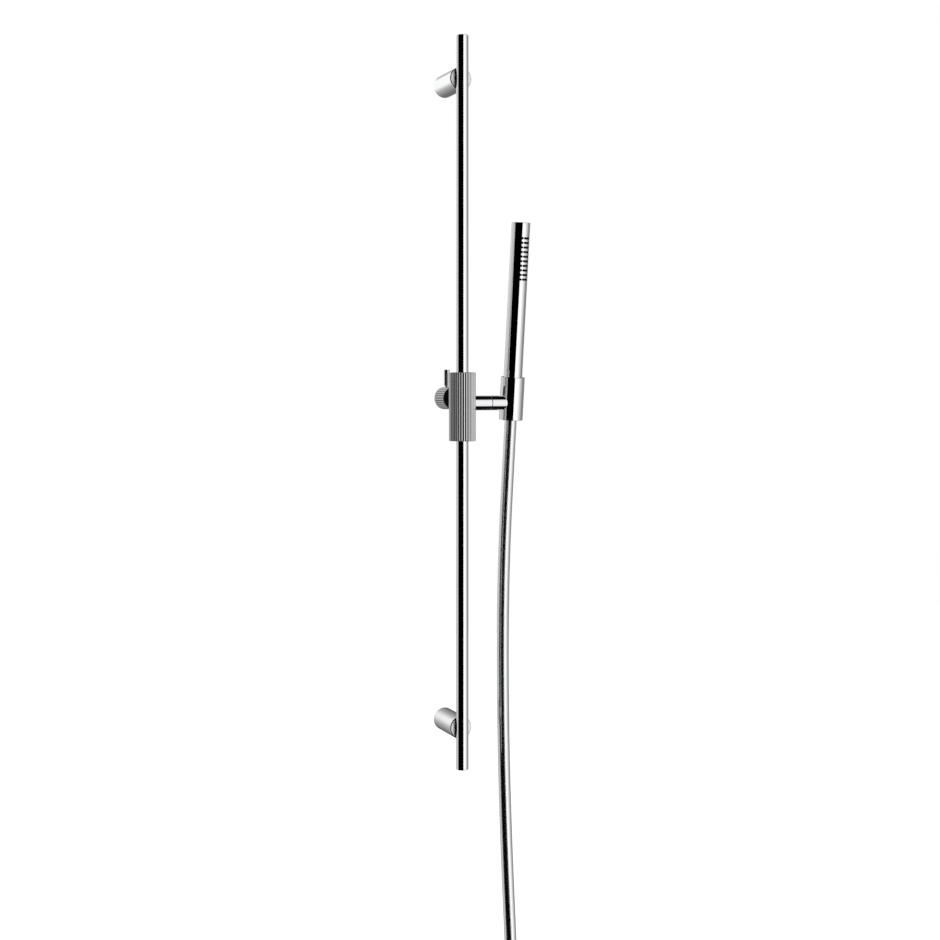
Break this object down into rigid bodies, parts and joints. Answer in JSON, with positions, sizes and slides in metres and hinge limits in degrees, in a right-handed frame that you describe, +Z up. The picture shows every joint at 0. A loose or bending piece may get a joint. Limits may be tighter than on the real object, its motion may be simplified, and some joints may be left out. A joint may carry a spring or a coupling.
{
  "type": "shower slide rail",
  "caption": "Round wall-mounted shower rail with a reeded sliding clamp, a tilting holder, a stick handset and a smooth hose.",
  "frame": {"origin": "on the wall plane, midway between the two wall fixings", "axes": "+Z up along the rail, +Y into the wall, +X to the right as seen from the room"},
  "size_m": [0.1953, 0.0863, 1.398],
  "materials": {
    "chrome": "polished",
    "steel": "plain",
    "brass": "turned",
    "nylon": "matte",
    "dark_nylon": "matte",
    "silicone": "matte",
    "hose": "silver gloss",
    "tie": "woven"
  },
  "bodies": {
    "rail": {"rail_tube": "chrome", "rail_top_cap": "chrome", "rail_bottom_cap": "chrome", "rail_nut_inserts": "brass", "upper_bracket": "chrome", "lower_bracket": "chrome", "upper_wall_spigot": "steel", "lower_wall_spigot": "steel", "rail_fixing_screws": "steel", "bracket_grub_screws": "steel"},
    "glide": {"upper_glide_bush": "nylon", "lower_glide_bush": "nylon"},
    "slider": {"slider_body": "chrome", "slider_end_rings": "chrome", "clamp_boss": "chrome", "brake_shoe": "nylon", "arm": "chrome", "arm_stud": "steel", "pivot_washer": "dark_nylon", "pivot_spring_washer": "steel", "pivot_screw": "steel", "hose_tube": "hose", "hose_hank": "hose", "hose_tie": "tie", "hose_end_tail": "chrome", "hose_end_seal": "silicone"},
    "clamp": {"clamp_knob": "chrome", "clamp_spindle": "steel", "knob_washer": "dark_nylon", "lever_pin": "chrome"},
    "holder": {"holder_socket": "chrome", "holder_liner": "dark_nylon", "handset_tube": "chrome", "handset_end_cap": "chrome", "nozzle_strip": "silicone", "spray_core": "nylon", "handset_inlet": "brass", "hose_cone_nut": "chrome", "hose_top_seal": "silicone", "hose_top_tail": "brass", "hose_stub": "hose"},
    "end_nut": {"hose_end_nut": "chrome"}
  },
  "joints": [
    {"name": "rail_slide", "type": "slide", "parent": "rail", "child": "glide", "axis": [0, 0, 1], "range_m": [-0.337, 0.342]},
    {"name": "rail_swivel", "type": "hinge", "parent": "glide", "child": "slider", "pos_m": [0, -0.0635, -0.0045], "axis": [0, 0, 1], "range_deg": [-190, 25]},
    {"name": "clamp_turn", "type": "hinge", "parent": "slider", "child": "clamp", "pos_m": [0, -0.0635, 0.0059], "axis": [-0.1736, 0.9848, 0], "range_deg": [0, 180]},
    {"name": "holder_tilt", "type": "hinge", "parent": "slider", "child": "holder", "pos_m": [0, -0.0635, 0], "axis": [0.9848, 0.1736, 0], "range_deg": [-14, 45]},
    {"name": "end_nut_spin", "type": "hinge", "parent": "slider", "child": "end_nut", "pos_m": [0.07499, -0.07414, -0.9221], "axis": [0, 0, 1], "continuous": true}
  ]
}
